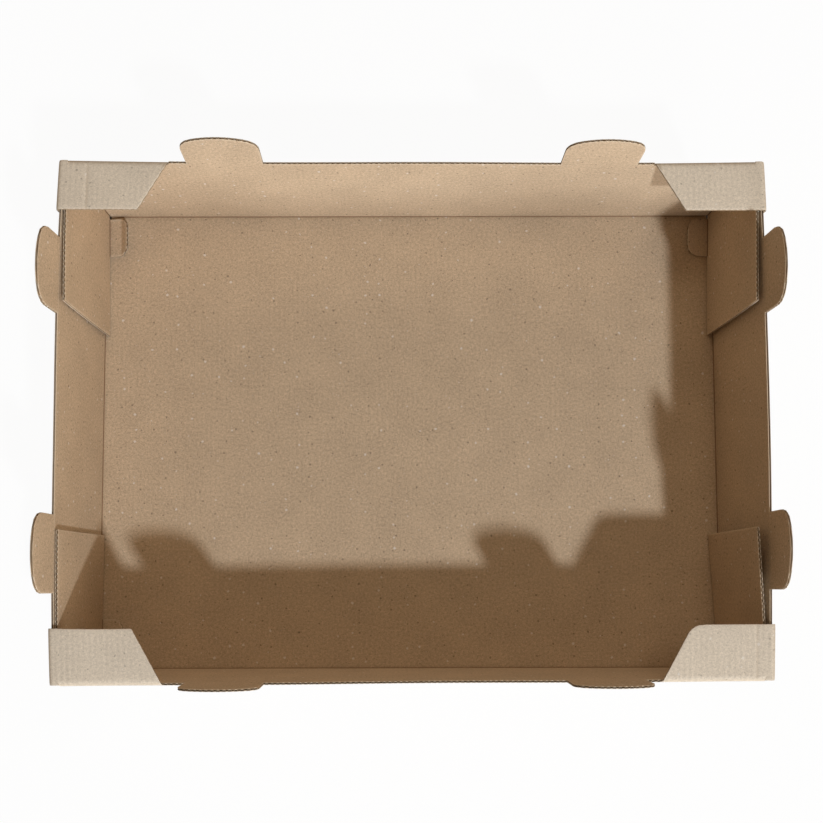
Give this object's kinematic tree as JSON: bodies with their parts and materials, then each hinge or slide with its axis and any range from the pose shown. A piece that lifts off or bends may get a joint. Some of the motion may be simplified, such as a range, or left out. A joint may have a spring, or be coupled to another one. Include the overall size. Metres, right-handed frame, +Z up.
{
  "type": "corrugated cardboard tray",
  "caption": "Open rectangular stacking tray folded from a sheet of thin corrugated cardboard, with glued corner ledges, inner corner flaps and rounded stacking tabs on its rims.",
  "frame": {"origin": "on the resting plane, under the middle of the floor", "axes": "+X along the long side, +Y along the short side, +Z up out of the open mouth"},
  "size_m": [0.4051, 0.2988, 0.1064],
  "materials": {
    "board": "matt brown recycled paper liner with fine flecks, open flutes at the cut edges"
  },
  "bodies": {
    "root": {"tray": "board"}
  },
  "joints": []
}
